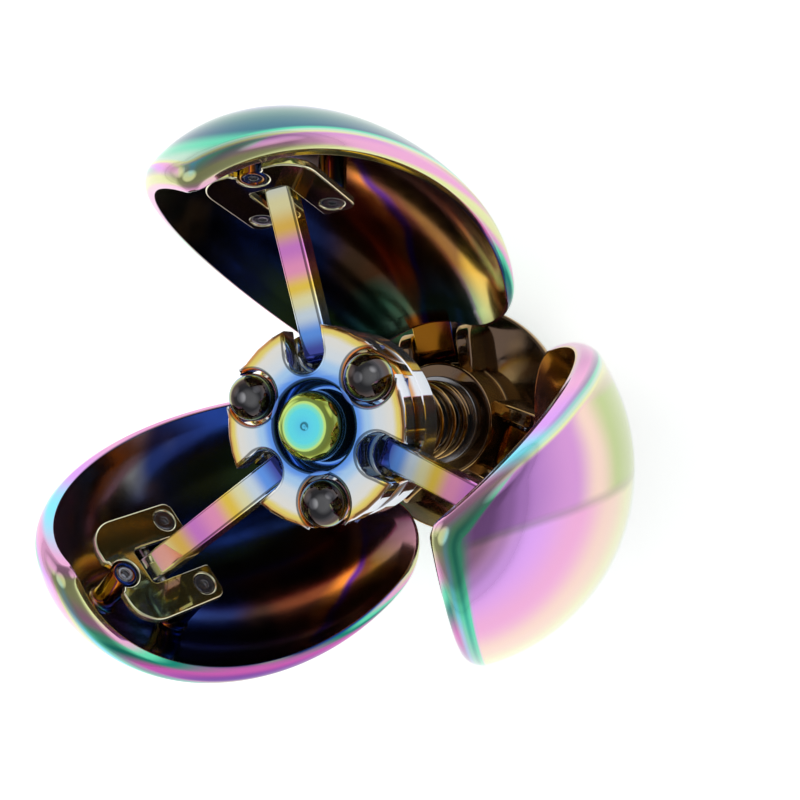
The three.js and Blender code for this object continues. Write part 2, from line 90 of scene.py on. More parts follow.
STRUT_IN = (7.1 * MM, 35.2 * MM)
STRUT_OUT = (22.8 * MM, 38.7 * MM)
STRUT_W = 2.75 * MM
STRUT_END_R = 1.05 * MM
STRUT_PIN_R = 0.55 * MM
OUTER_PIN_HALF = 2.8 * MM
INNER_PIN_HALF = 3.5 * MM
PRONG = Vector((20.8 * MM, 0, 36.1 * MM))
PRONG_Y = 3.85 * MM
BRACKET_LEAN = math.radians(90 - 73.6)
BRACKET_LEN = 7.6 * MM
BRACKET_T = 0.8 * MM
BRACKET_HALF_W = 5.7 * MM
BRACKET_FOOT_Z = -1.7 * MM
BRACKET_TOP_Z = 9.0 * MM
BRACKET_FOOT_R = 1.0 * MM
BRACKET_TOP_R = 3.0 * MM
BRACKET_SLOT_END = 5.3 * MM
NOTCH_R = 1.45 * MM
NOTCH_MOUTH = 1.9 * MM
SLOT_HALF_W = 2.0 * MM
POST_R = 1.35 * MM
POST_TIP_R = 1.25 * MM
SCREW_R = 0.5 * MM
SCREW_SINK = 0.1 * MM
SCREW_CONE = 0.45 * MM
SLOT_END_R = 5.0 * MM
BALL_PITCH_R = 7.2 * MM
BALL_HOLE_R = 2.6 * MM
CUP_R = 4.2 * MM
HUB_BORE_R = 2.6 * MM
SPRING_TURNS = 7
SPRING_WIRE_R = 0.45 * MM
WASHER_R = 4.9 * MM
FLANGE_TOP_Z = 4.5 * MM
BOSS_R = 6.4 * MM
NECK_R = 2.9 * MM
BEARING_BORE_R = 5.1 * MM
BEARING_SEAT_Z = 7.4 * MM
CHEEK_W = 1.8 * MM
CHEEK_Y = 3.6 * MM

# ---- roundings and small clearances ----
HUB_FRONT_EDGE = 0.38 * MM
HUB_REAR_EDGE = 0.45 * MM
HUB_REAR_SLOT_GAP = 0.4 * MM        # how far the rear slots stop short of the front ones
CUP_FLOOR_T = 0.35 * MM
CUP_FLOOR_LAP = 0.3 * MM
BRACKET_EDGE = 0.18 * MM
STRUT_EDGE = 0.32 * MM
LUG_EDGE = 0.2 * MM
CHEEK_EDGE = 0.45 * MM
LIP_OUTER_H = WALL - 0.35 * MM
LIP_INNER_R = 0.25 * MM
POST_RIM = 0.15 * MM
PIN_GAP = 0.08 * MM                 # between the hinge pin and the lug's bore
WASHER_BORE_R = 2.7 * MM            # a little wider than the shaft
SCREW_GAP = 0.1 * MM                # between a screw's head and its hole in the bracket
PAINT_ROOM = 0.7 * MM               # how far round the lug its paint reaches

# ---- steps of the meshes ----
ARC = 10                            # in a quarter turn of an outline
TURN = 96                           # round a turned piece
TIP_ROWS = 10
SIDE_ROWS = 70
CORNER_ROWS = 16
COLUMNS = 48
LIP_STEPS = 10
POST_SIDES = 48
POST_STEPS = 7
SPRING_STEPS = 48                   # in one turn of the coil


# ---- where things are, from the frame ----
def span(node):
    """Lowest and highest z of a CAD node."""
    low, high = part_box(node)
    return low[2], high[2]


def radius_of(node):
    low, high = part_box(node)
    return (high[0] - low[0]) / 2


def petal_azimuth(i):
    pos = next(j["pos_m"] for j in frame["joints"] if j["name"] == f"petal_{SIDES[i]}_fold")
    return math.atan2(pos[1], pos[0])


# ---- mesh helpers ----
def linked(name, data):
    """A new object in the scene."""
    obj = bpy.data.objects.new(name, data)
    bpy.context.scene.collection.objects.link(obj)
    return obj


def piece(name, mesh, body, nodes, material, azimuth=0.0):
    """Turns the mesh to its petal's side, puts it in the scene on the body and hides the CAD nodes it stands
    for.
    """
    mesh.transform(Matrix.Rotation(azimuth, 4, "Z"))
    obj = linked(name, mesh)
    obj.data.materials.clear()
    obj.data.materials.append(material)
    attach(obj, body)
    if nodes:
        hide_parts(*nodes)
    return obj


def paint(mesh, name, value_of):
    """Gives the mesh a number at each vertex, for its material to read."""
    layer = mesh.attributes.new(name, "FLOAT", "POINT")
    layer.data.foreach_set("value", [value_of(v.co) for v in mesh.vertices])
    return mesh


def smoothed(mesh):
    mesh.polygons.foreach_set("use_smooth", [True] * len(mesh.polygons))
    return mesh


def mesh_from(name, verts, faces):
    mesh = bpy.data.meshes.new(name)
    mesh.from_pydata([tuple(v) for v in verts], [], faces)
    mesh.validate()
    mesh.update()
    return smoothed(mesh)


def mesh_of_curve(curve):
    """The curve's bevelled surface as a mesh; the curve is used up."""
    obj = linked(curve.name, curve)
    mesh = bpy.data.meshes.new_from_object(obj.evaluated_get(bpy.context.evaluated_depsgraph_get()))
    bpy.data.objects.remove(obj)
    bpy.data.curves.remove(curve)
    return mesh


def merged(name, *meshes):
    """One mesh out of several, each part's shading kept."""
    smooth = [p.use_smooth for m in meshes for p in m.polygons]
    bm = bmesh.new()
    for m in meshes:
        bm.from_mesh(m)
    bmesh.ops.recalc_face_normals(bm, faces=bm.faces)
    mesh = bpy.data.meshes.new(name)
    bm.to_mesh(mesh)
    bm.free()
    mesh.polygons.foreach_set("use_smooth", smooth)
    for m in meshes:
        bpy.data.meshes.remove(m)
    return mesh


def rounded(profile, r, steps=5):
    """The open polyline with its inner corners rounded to radius r, or less where the legs are short."""
    straight = math.radians(88)
    longest = 0.45
    out = [Vector(profile[0])]
    for a, b, c in zip(profile, profile[1:], profile[2:]):
        a, b, c = Vector(a), Vector(b), Vector(c)
        back, on = a - b, c - b
        half = back.angle(on) / 2
        if half > straight:
            out.append(b)
            continue
        reach = min(r / math.tan(half), back.length * longest, on.length * longest)
        radius = reach * math.tan(half)
        middle = b + (back.normalized() + on.normalized()).normalized() * (radius / math.sin(half))
        start = b + back.normalized() * reach - middle
        stop = b + on.normalized() * reach - middle
        turn = start.angle(stop)
        for k in range(steps + 1):
            t = k / steps
            spoke = (start * math.sin((1 - t) * turn) + stop * math.sin(t * turn)) / math.sin(turn)
            out.append(middle + spoke)
    out.append(Vector(profile[-1]))
    return out


def turned(name, profile, soften=0.0, closed=False):
    """A body of revolution about Z from (radius, height) points; closed joins the last to the first."""
    points = [(p[0], p[1], 0.0) for p in profile]
    if closed:
        points = points[-1:] + points + points[:1]
    if soften:
        points = rounded(points, soften)
    if closed:
        points = points[1:-1]
    verts, faces, rings = [], [], []
    for x, z, _ in points:
        if x < SAME_PLACE:
            rings.append([len(verts)])
            verts.append((0, 0, z))
            continue
        rings.append(list(range(len(verts), len(verts) + TURN)))
        for k in range(TURN):
            a = 2 * math.pi * k / TURN
            verts.append((x * math.cos(a), x * math.sin(a), z))
    pairs = list(zip(rings, rings[1:]))
    if closed:
        pairs.append((rings[-1], rings[0]))
    for low, high in pairs:
        for k in range(TURN):
            n = (k + 1) % TURN
            corners = [low[k % len(low)], low[n % len(low)], high[n % len(high)], high[k % len(high)]]
            unique = list(dict.fromkeys(corners))
            if len(unique) > 2:
                faces.append(unique)
    return mesh_from(name, verts, faces)


def arc(cx, cy, r, start, stop, steps=None):
    """Points on an arc between two angles, both ends kept."""
    steps = steps or max(3, int(abs(stop - start) / (math.pi / 2) * ARC))
    return [(cx + r * math.cos(start + (stop - start) * k / steps),
             cy + r * math.sin(start + (stop - start) * k / steps)) for k in range(steps + 1)]


def circle(cx, cy, r, steps=48):
    return arc(cx, cy, r, 0, 2 * math.pi, steps)[:-1]


def plate(name, outlines, thickness, edge, z0=0.0):
    """A flat plate with rounded edges: the first outline is its rim and the others its holes."""
    curve = bpy.data.curves.new(name, "CURVE")
    curve.dimensions = "2D"
    curve.fill_mode = "BOTH"
    curve.extrude = thickness / 2 - edge
    curve.bevel_depth = edge
    curve.bevel_resolution = 3
    curve.offset = -edge
    for outline in outlines:
        spline = curve.splines.new("POLY")
        spline.points.add(len(outline) - 1)
        for point, (x, y) in zip(spline.points, outline):
            point.co = (x, y, 0, 1)
        spline.use_cyclic_u = True
    mesh = mesh_of_curve(curve)
    bm = bmesh.new()
    bm.from_mesh(mesh)
    bmesh.ops.remove_doubles(bm, verts=bm.verts, dist=SAME_PLACE)
    bmesh.ops.recalc_face_normals(bm, faces=bm.faces)
    bm.to_mesh(mesh)
    bm.free()
    mesh.transform(Matrix.Translation((0, 0, z0 + thickness / 2)))
    mesh.polygons.foreach_set("use_smooth", [not is_cap(mesh, p) for p in mesh.polygons])
    return mesh


def is_cap(mesh, polygon):
    """Whether all of a plate's polygon lies in its front or its back."""
    heights = [mesh.vertices[v].co.z for v in polygon.vertices]
    return max(heights) - min(heights) < SAME_PLACE


def flat_faces_stay_flat(obj):
    """Shades a rounded edge without bending the light on the flat faces beside it."""
    modifier = obj.modifiers.new("even shading", "WEIGHTED_NORMAL")
    modifier.weight = 100
    modifier.keep_sharp = True
    return obj


def link_outline(a, b):
    """Two round ends (x, y, r) joined by their outer tangents."""
    along = math.atan2(b[1] - a[1], b[0] - a[0])
    lean = math.acos((a[2] - b[2]) / math.hypot(b[0] - a[0], b[1] - a[1]))
    return arc(*a, along + lean, along - lean + 2 * math.pi) + arc(*b, along - lean, along + lean)


def stood_up(mesh, width):
    """A plate drawn in XY turns to stand in XZ, with its thickness centred on y = 0."""
    mesh.transform(Matrix.Translation((0, width / 2, 0)) @ Matrix.Rotation(math.pi / 2, 4, "X"))
    return mesh


def cross_bar(name, r, half_length, x, z):
    """A round pin that lies along y through (x, z)."""
    mesh = turned(name, [(0, -half_length), (r, -half_length), (r, half_length), (0, half_length)], 0.12 * MM)
    mesh.transform(Matrix.Translation((x, 0, z)) @ Matrix.Rotation(math.pi / 2, 4, "X"))
    return mesh


# ---- the petal ----
TO_OPEN = Matrix.Translation(HINGE) @ Matrix.Rotation(OPEN, 4, "Y") @ Matrix.Translation(-HINGE)
FROM_BRACKET = Matrix.Translation(PRONG) @ Matrix.Rotation(BRACKET_LEAN, 4, "Y")
# name: y and z in the plate, post radius, where the post starts behind the plate's middle, screw head radius
SCREW_SPOTS = {
    "left": (PRONG_Y, 0, POST_R, BRACKET_T / 2, 1.05 * MM),
    "right": (-PRONG_Y, 0, POST_R, BRACKET_T / 2, 1.05 * MM),
    "end": (0, BRACKET_LEN, POST_TIP_R, -BRACKET_T / 2, 0.85 * MM),
}
HALF_WALL = WALL / 2
LIP = 1.9 * MM                  # how far in from its edge the shell starts to round over
TIP_MIDDLE = (PETAL_TIP_R + SEAM_HALF) / math.sin(SEAM)


def seam_half_angle(r, inset):
    """Half the petal's width at distance r from the axis, as an azimuth, its edge drawn in by inset."""
    tip_r = PETAL_TIP_R - inset
    end = math.hypot(TIP_MIDDLE - tip_r * math.sin(SEAM), tip_r * math.cos(SEAM))
    if r >= end:
        return SEAM - math.asin((SEAM_HALF + inset) / r)
    return math.acos(min(1, (r * r + TIP_MIDDLE ** 2 - tip_r ** 2) / (2 * r * TIP_MIDDLE)))


def petal_half_angle(u, inset):
    """Half the petal's width at angle u down from the egg's top, narrowed by the round lower corners."""
    end = PETAL_END - inset / EGG_A
    full = seam_half_angle(EGG_B * math.sin(u), inset)
    past = (u - (end - PETAL_CORNER)) / PETAL_CORNER
    if past <= 0:
        return full
    width = PETAL_CORNER / math.sin(end - PETAL_CORNER / 2)
    return full - width * (1 - math.sqrt(max(0, 1 - past * past)))


def petal_rows(inset):
    """Angles down from the egg's top, close together in the tip and in the lower corners."""
    tip_r = PETAL_TIP_R - inset
    past_point = 1.002
    start = (TIP_MIDDLE - tip_r) * past_point
    stop = math.hypot(TIP_MIDDLE - tip_r * math.sin(SEAM), tip_r * math.cos(SEAM))
    end = PETAL_END - inset / EGG_A
    tip = [math.asin((start + (stop - start) * (k / TIP_ROWS) ** 2) / EGG_B) for k in range(TIP_ROWS)]
    top = math.asin(stop / EGG_B)
    side = [top + (end - PETAL_CORNER - top) * k / SIDE_ROWS for k in range(SIDE_ROWS)]
    corner = [end - PETAL_CORNER * (1 - math.sin(math.pi / 2 * k / CORNER_ROWS))
              for k in range(CORNER_ROWS + 1)]
    return tip + side + corner


def lip_profile():
    """The lip from the outer face over a broad round to a tight inner corner: (across the wall, outward)."""
    quarter = [math.pi / 2 * k / LIP_STEPS for k in range(1, LIP_STEPS + 1)]
    outer = [(HALF_WALL - LIP_OUTER_H * (1 - math.cos(a)), LIP * math.sin(a)) for a in quarter]
    inner = [(-HALF_WALL + LIP_INNER_R * (1 - math.sin(a)), LIP - LIP_INNER_R * (1 - math.cos(a)))
             for a in quarter[:-1:2] + quarter[-1:]]
    return outer + inner


def short_of_seams(verts):
    """Flattens the lip's inner corner where it would meet the next petal in the closed egg."""
    least = 0.75 * SEAM_HALF
    for side in (1, -1):
        inwards = np.array([math.sin(SEAM), -side * math.cos(SEAM), 0])
        short = np.maximum(0, least - verts @ inwards)
        verts = verts + short[:, None] * inwards
    return verts


def wall_grid():
    """The middle of the wall inside the lip, as grids of points and of outward normals."""
    rows = petal_rows(LIP)
    a, b = EGG_A - HALF_WALL, EGG_B - HALF_WALL
    angle = np.array([[petal_half_angle(u, LIP) * (2 * j / COLUMNS - 1) for j in range(COLUMNS + 1)]
                      for u in rows])
    u = np.array(rows)[:, None]
    points = np.stack([b * np.sin(u) * np.cos(angle), b * np.sin(u) * np.sin(angle),
                       EGG_Z + a * np.cos(u) + 0 * angle], -1)
    normal = np.stack([np.sin(u) * np.cos(angle) / b, np.sin(u) * np.sin(angle) / b,
                       np.cos(u) / a + 0 * angle], -1)
    normal /= np.linalg.norm(normal, axis=-1, keepdims=True)
    return points, normal


def out_of_edge(edge, across, k, middle):
    """Unit vectors along the wall and out of its edge; middle is a point of the wall inwards of edge[k]."""
    outward = np.cross(np.roll(edge, -1, 0) - np.roll(edge, 1, 0), across)
    outward /= np.linalg.norm(outward, axis=1, keepdims=True)
    if np.dot(outward[k], edge[k] - middle) < 0:
        outward = -outward
    return outward


def petal_shell():
    """The shell as one skin, outside, round the lip and back along the inside."""
    points, normal = wall_grid()
    count, width = points.shape[:2]
    flat_points, flat_normal = points.reshape(-1, 3), normal.reshape(-1, 3)
    verts = np.concatenate([flat_points + flat_normal * HALF_WALL, flat_points - flat_normal * HALF_WALL])
    at = np.arange(count * width).reshape(count, width)
    faces = []
    for i in range(count - 1):
        for j in range(width - 1):
            quad = [at[i, j], at[i + 1, j], at[i + 1, j + 1], at[i, j + 1]]
            faces.append(quad)
            faces.append([q + count * width for q in reversed(quad)])
    loop = np.concatenate([at[:, 0], at[-1, 1:], at[-2::-1, -1], at[0, -2:0:-1]])
    edge, across = flat_points[loop], flat_normal[loop]
    outward = out_of_edge(edge, across, count // 2, points[count // 2, width // 2])
    rings = [loop]
    for over, out in lip_profile():
        rings.append(np.arange(len(loop)) + len(verts))
        follow = over - out ** 2 / (2 * EGG_B)
        verts = np.concatenate([verts, edge + across * follow + outward * out])
    rings.append(loop + count * width)
    for low, high in zip(rings, rings[1:]):
        for k in range(len(loop)):
            n = (k + 1) % len(loop)
            faces.append([low[k], high[k], high[n], low[n]])
    return mesh_from("shell", short_of_seams(verts), [[int(q) for q in f] for f in faces])


def wall_distance(start, direction):
    """How far a ray in the closed petal's frame runs to just under the wall's inner face."""
    depth = WALL - 0.3 * MM
    scale = Vector((1 / (EGG_B - depth), 1 / (EGG_B - depth), 1 / (EGG_A - depth)))
    s = (start - Vector((0, 0, EGG_Z))) * scale
    d = direction * scale
    a, b, c = d.dot(d), 2 * s.dot(d), s.dot(s) - 1
    return (-b + math.sqrt(b * b - 4 * a * c)) / (2 * a)


def post_rings(r, start, head):
    """A post's rings as (radius, offset along the post, whether it is measured from the wall)."""
    flare_r, flare_h = 0.9 * MM, 1.6 * MM
    if start > 0:
        rings = [(SCREW_R, 0, False)]
    else:
        rings = [(SCREW_R, SCREW_SINK + SCREW_CONE, False), (head + POST_RIM / 2, SCREW_SINK / 2, False)]
    rings += [(r - POST_RIM, 0, False), (r, POST_RIM, False)]
    for k in range(POST_STEPS + 1):
        a = math.pi / 2 * k / POST_STEPS
        rings.append((r + flare_r * (1 - math.cos(a)), -flare_h * (1 - math.sin(a)), True))
    return rings


def petal_posts():
    """The cast posts behind the bracket, flaring where they meet the wall; in the open petal's place."""
    to_closed = TO_OPEN.inverted()
    lengthwise = to_closed.to_3x3() @ (FROM_BRACKET.to_3x3() @ Vector((1, 0, 0)))
    out = []
    for y, z, r, start, head in SCREW_SPOTS.values():
        verts, faces = [], []
        rings = post_rings(r, start, head)
        for radius, offset, from_wall in rings:
            for k in range(POST_SIDES):
                a = 2 * math.pi * k / POST_SIDES
                spot = Vector((start, y + radius * math.cos(a), z + radius * math.sin(a)))
                reach = wall_distance(to_closed @ (FROM_BRACKET @ spot), lengthwise) if from_wall else 0
                verts.append(FROM_BRACKET @ (spot + Vector((reach + offset, 0, 0))))
        for low in range(0, (len(rings) - 1) * POST_SIDES, POST_SIDES):
            high = low + POST_SIDES
            for k in range(POST_SIDES):
                n = (k + 1) % POST_SIDES
                faces.append([low + k, low + n, high + n, high + k])
        faces.append(list(range(POST_SIDES)))
        faces.append([len(verts) - 1 - k for k in range(POST_SIDES)])
        out.append(mesh_from("post", verts, faces))
    return out


def depth_in_wall(point):
    """0 on the petal's outer face, 1 on its inner face and on what is cast inside it."""
    p = TO_OPEN.inverted() @ point
    beside_lug = abs(p.y) < LUG_HALF_W + 0.1 * MM
    if beside_lug and p.x < LUG_TOP[0] + PAINT_ROOM and p.z < LUG_TOP[1] + PAINT_ROOM:
        return 1
    p.z -= EGG_Z
    depth = (1 - math.sqrt((p.x ** 2 + p.y ** 2) / EGG_B ** 2 + p.z ** 2 / EGG_A ** 2)) * EGG_B
    return min(1, max(0, depth / WALL))


def make_petal(i, material):
    outline = link_outline((HINGE.x, HINGE.z, KNUCKLE_R), LUG_TOP)
    bore = circle(HINGE.x, HINGE.z, HINGE_PIN_R + PIN_GAP, 24)
    lug = stood_up(plate("lug", [outline, bore], 2 * LUG_HALF_W, LUG_EDGE), 2 * LUG_HALF_W)
    shell = petal_shell()
    for mesh in (shell, lug):
        mesh.transform(TO_OPEN)
    mesh = merged("petal", shell, lug, *petal_posts())
    paint(mesh, "depth", depth_in_wall)
    # the lip's painted reflection runs round it by which way each part of the petal points against the
    # camera's up
    place = Matrix.Rotation(petal_azimuth(i), 3, "Z")
    middle = sum((v.co for v in mesh.vertices), Vector()) / len(mesh.vertices)
    paint(mesh, "rim", lambda p: (place @ (p - middle)).normalized().dot(VIEW_TOP.normalized()))
    name = f"petal_{SIDES[i]}"
    piece(f"{name}_skin", mesh, name, [name], material, petal_azimuth(i))


# ---- bracket, screws, strut, pins ----
def bracket_outline():
    """The plate: two arms with round corners, a square slot between them, a round notch in the top."""
    wide, quarter = BRACKET_HALF_W, math.pi / 2
    mouth = math.atan2(BRACKET_TOP_Z - BRACKET_LEN, NOTCH_MOUTH)
    foot = (wide - BRACKET_FOOT_R, BRACKET_FOOT_Z + BRACKET_FOOT_R)
    top = (wide - BRACKET_TOP_R, BRACKET_TOP_Z - BRACKET_TOP_R)
    inside, slot_r = 0.35 * MM, 0.5 * MM
    right = arc(SLOT_HALF_W + inside, BRACKET_FOOT_Z + inside, inside, 2 * quarter, 3 * quarter, 4)
    right += arc(*foot, BRACKET_FOOT_R, -quarter, 0, 8) + arc(*top, BRACKET_TOP_R, 0, quarter, 14)
    right += arc(NOTCH_MOUTH, BRACKET_TOP_Z - inside, inside, quarter, 2 * quarter, 4)
    notch = arc(0, BRACKET_LEN, NOTCH_R, mouth, math.pi - mouth - 2 * math.pi, 28)
    left = [(-x, y) for x, y in reversed(right)]
    slot = arc(slot_r - SLOT_HALF_W, BRACKET_SLOT_END - slot_r, slot_r, 2 * quarter, quarter, 5)
    slot += arc(SLOT_HALF_W - slot_r, BRACKET_SLOT_END - slot_r, slot_r, quarter, 0, 5)
    return right + notch + left + slot


def make_bracket(i, material):
    """The plate, with holes for its left and right screws; the end screw sits in the notch."""
    holes = [circle(y, z, head + SCREW_GAP, 40) for y, z, _, _, head in SCREW_SPOTS.values() if y]
    mesh = plate("bracket", [bracket_outline()] + holes, BRACKET_T, BRACKET_EDGE, -BRACKET_T / 2)
    # the rounded edges are marked for a painted highlight
    face_z = BRACKET_T / 2 - 0.01 * MM
    paint(mesh, "edge", lambda p: 1 if abs(p.z) < face_z else 0)
    upright = Matrix(((0, 0, 1, 0), (1, 0, 0, 0), (0, 1, 0, 0), (0, 0, 0, 1)))
    mesh.transform(FROM_BRACKET @ upright)
    obj = piece(f"bracket_{SIDES[i]}_plate", mesh, f"petal_{SIDES[i]}", [f"bracket_{SIDES[i]}"],
                material, petal_azimuth(i))
    flat_faces_stay_flat(obj)


def make_bracket_screws(i, material):
    """Countersunk screws with a round socket, a little below the face."""
    socket_r, socket_depth = 0.42 * MM, 0.35 * MM
    head_t, length = 0.12 * MM, 3 * MM
    for spot, (y, z, _, _, head) in SCREW_SPOTS.items():
        node = f"bracket_screw_{SIDES[i]}_{spot}"
        mesh = turned("screw", [
            (0, socket_depth), (socket_r, socket_depth), (socket_r, 0), (head, 0), (head, head_t),
            (SCREW_R, SCREW_CONE), (SCREW_R, length), (0, length)], 0.05 * MM)
        sunk = Matrix.Translation((SCREW_SINK - BRACKET_T / 2, y, z))
        mesh.transform(FROM_BRACKET @ (sunk @ Matrix.Rotation(math.pi / 2, 4, "Y")))
        piece(f"{node}_head", mesh, f"petal_{SIDES[i]}", [node], material, petal_azimuth(i))


def make_strut(i, coated, steel):
    body = f"strut_{SIDES[i]}"
    ends = [(*STRUT_IN, STRUT_END_R), (*STRUT_OUT, STRUT_END_R)]
    mesh = stood_up(plate("strut", [link_outline(*ends)], STRUT_W, STRUT_EDGE), STRUT_W)
    inner = Vector((STRUT_IN[0], 0, STRUT_IN[1]))
    along = Vector((STRUT_OUT[0] - STRUT_IN[0], 0, STRUT_OUT[1] - STRUT_IN[1]))
    paint(mesh, "tone", lambda p: (p - inner).dot(along) / along.length_squared)
    flat_faces_stay_flat(piece(f"{body}_bar", mesh, body, [body], coated, petal_azimuth(i)))
    pins = (("outer", STRUT_OUT, OUTER_PIN_HALF, body), ("inner", STRUT_IN, INNER_PIN_HALF, "hub"))
    for end, (x, z), half, rider in pins:
        node = f"strut_{end}_pin_{SIDES[i]}"
        rod = cross_bar(node, STRUT_PIN_R, half, x, z)
        piece(f"{node}_rod", rod, rider, [node], steel, petal_azimuth(i))


def make_hinge_pin(i, steel):
    node = f"hinge_pin_{SIDES[i]}"
    rod = cross_bar(node, HINGE_PIN_R, HINGE_PIN_HALF, HINGE.x, HINGE.z)
    piece(f"{node}_rod", rod, "rotor", [node], steel, petal_azimuth(i))


# ---- the hub ----
def hub_outline(radius, slot_end, pockets):
    """A disc with a slot for each strut and, in the front plate, a pocket open to the rim for each ball."""
    points = []
    slot_half = math.asin(SLOT_HALF_W / radius)
    reach = (BALL_PITCH_R ** 2 + radius ** 2 - BALL_HOLE_R ** 2) / (2 * BALL_PITCH_R * radius)
    pocket_half = math.acos(reach) if pockets else 0
    for i in range(PETALS):
        a = petal_azimuth(i)
        turn = Matrix.Rotation(a, 2)
        slot = [(radius * math.cos(slot_half), -SLOT_HALF_W)]
        slot += arc(slot_end + SLOT_HALF_W, 0, SLOT_HALF_W, -math.pi / 2, -math.pi * 1.5)
        slot += [(radius * math.cos(slot_half), SLOT_HALF_W)]
        points += [tuple(turn @ Vector(p)) for p in slot]
        points += arc(0, 0, radius, a + slot_half, a + SEAM - pocket_half)[1:]
        if pockets:
            middle = Matrix.Rotation(a + SEAM, 2)
            mouth = math.asin(radius * math.sin(pocket_half) / BALL_HOLE_R)
            ring = arc(BALL_PITCH_R, 0, BALL_HOLE_R, -mouth, mouth - 2 * math.pi, 40)
            points += [tuple(middle @ Vector(p)) for p in ring[1:-1]]
            points += arc(0, 0, radius, a + SEAM + pocket_half, a + 2 * SEAM - slot_half)[:-1]
    return points


def hub_tone(point):
    """0 at the cup's edge, 0.8 at the rim and on to 1 down the side of a plate."""
    face, thickness = HUB_SPLIT_Z, HUB_REAR_T
    if point.z > HUB_SPLIT_Z:
        face, thickness = HUB_FACE_Z, HUB_FRONT_T
    return 0.8 * (point.xy.length - CUP_R) / (HUB_R - CUP_R) + 0.2 * (face - point.z) / thickness


def make_hub_front(material):
    """The front plate and, in one with it, the floor of the cup round the pin cap."""
    low, high = span("hub_front_plate")
    outline = hub_outline(HUB_R, SLOT_END_R, True)
    front = plate("front", [outline, circle(0, 0, CUP_R, 72)], high - low, HUB_FRONT_EDGE, low)
    lap_r, floor_z = CUP_R + CUP_FLOOR_LAP, low + CUP_FLOOR_T
    floor = turned("floor", [(HUB_BORE_R, low), (lap_r, low), (lap_r, floor_z), (HUB_BORE_R, floor_z)],
                   closed=True)
    mesh = paint(merged("hub_front", front, floor), "tone", hub_tone)
    flat_faces_stay_flat(piece("hub_front", mesh, "hub", ["hub_front_plate"], material))


def make_hub_rear(material):
    """The rear plate: slotted down to a shelf, a plain ring below it."""
    low, high = span("hub_rear_plate")
    r = radius_of("hub_rear_plate")
    shelf = high - REAR_SLOT_DEPTH
    outline = hub_outline(r, SLOT_END_R + HUB_REAR_SLOT_GAP, False)
    slotted = plate("slotted", [outline, circle(0, 0, HUB_BORE_R, 64)],
                    high - shelf + HUB_REAR_EDGE, HUB_REAR_EDGE, shelf - HUB_REAR_EDGE)
    ring = turned("ring", [(HUB_BORE_R, low), (r, low), (r, shelf), (HUB_BORE_R, shelf)], HUB_REAR_EDGE, True)
    mesh = paint(merged("hub_rear", slotted, ring), "tone", hub_tone)
    flat_faces_stay_flat(piece("hub_rear", mesh, "hub", ["hub_rear_plate"], material))


def make_hub_balls(material):
    for letter in SIDES:
        node = f"hub_ball_{letter}"
        low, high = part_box(node)
        bm = bmesh.new()
        bmesh.ops.create_uvsphere(bm, u_segments=64, v_segments=40, radius=(high[2] - low[2]) / 2)
        mesh = bpy.data.meshes.new(node)
        bm.to_mesh(mesh)
        bm.free()
        mesh.transform(Matrix.Translation((low + high) / 2))
        piece(f"{node}_mirror", smoothed(mesh), "hub", [node], material)


def make_washers(material):
    for which, body in (("upper", "hub"), ("lower", "rotor")):
        node = f"{which}_spring_washer"
        low, high = span(node)
        corners = [(WASHER_BORE_R, low), (WASHER_R, low), (WASHER_R, high), (WASHER_BORE_R, high)]
        piece(f"{node}_ring", turned(node, corners, 0.1 * MM, True), body, [node], material)


# ---- shaft, cap, pad, carrier, spring ----
def make_shaft(material):
    low, high = span("shaft")
    r = radius_of("shaft")
    mesh = turned("shaft", [(0, low), (r, low), (r, high), (0, high)], 0.3 * MM)
    piece("shaft_rod", mesh, "base", ["shaft"], material)


def make_cap(material):
    """The domed cap, with a small dimple in its middle."""
    low, high = span("pin_cap")
    r = radius_of("pin_cap")
    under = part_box("hub_front_plate")[0][2] + 0.45 * MM
    dome_r, dome_h = 2.1 * MM, 1.4 * MM
    dome = [(dome_r + (r - dome_r) * math.cos(a), high - dome_h + dome_h * math.sin(a))
            for a in np.linspace(0, math.pi / 2, 14)]
    dimple = [(0.55 * MM, high), (0.3 * MM, high - 0.06 * MM), (0, high - 0.18 * MM)]
    cap = turned("cap", [(0, under), (r, under)] + dome + dimple)
    paint(cap, "tone", lambda p: p.xy.length / r if p.z > high - 1 * MM else 1 + (high - p.z) / r)
    piece("pin_cap_dome", cap, "base", ["pin_cap"], material)


def make_pad(material):
    """The foot: a disc with a well in its top that the shaft stands in."""
    low, high = span("finger_pad")
    r = radius_of("finger_pad")
    bottom_slope, top_slope = 0.8 * MM, 0.6 * MM
    well_r, well_z = 2.6 * MM, 1.5 * MM
    pad = turned("pad", [
        (0, low), (r - bottom_slope, low), (r, low + bottom_slope), (r, high - top_slope),
        (r - top_slope, high), (well_r, high), (well_r, well_z), (0, well_z)], 0.35 * MM)
    piece("finger_pad_disc", pad, "base", ["finger_pad"], material)


def make_carrier(material):
    """The flange and boss, with a pair of cheeks for each petal's hinge pin."""
    low, high = span("carrier")
    r = radius_of("carrier")
    body = turned("body", [
        (BEARING_BORE_R, low), (r, low), (r, FLANGE_TOP_Z), (BOSS_R, FLANGE_TOP_Z), (BOSS_R, high),
        (NECK_R, high), (NECK_R, BEARING_SEAT_Z), (BEARING_BORE_R, BEARING_SEAT_Z)], 0.3 * MM, True)
    parts = [body]
    root, foot = 5 * MM, FLANGE_TOP_Z - 0.5 * MM
    nose = arc(HINGE.x, HINGE.z, CHEEK_R, 0, math.pi / 2)
    outline = [(root, foot), (HINGE.x + CHEEK_R, foot), *nose, (root, HINGE.z + CHEEK_R)]
    for i in range(PETALS):
        for side in (1, -1):
            cheek = stood_up(plate("cheek", [outline], CHEEK_W, CHEEK_EDGE), CHEEK_W)
            turn = Matrix.Rotation(petal_azimuth(i), 4, "Z")
            cheek.transform(turn @ Matrix.Translation((0, side * CHEEK_Y, 0)))
            parts.append(cheek)
    mesh = merged("carrier", *parts)
    flat_faces_stay_flat(piece("carrier_body", mesh, "rotor", ["carrier"], material))


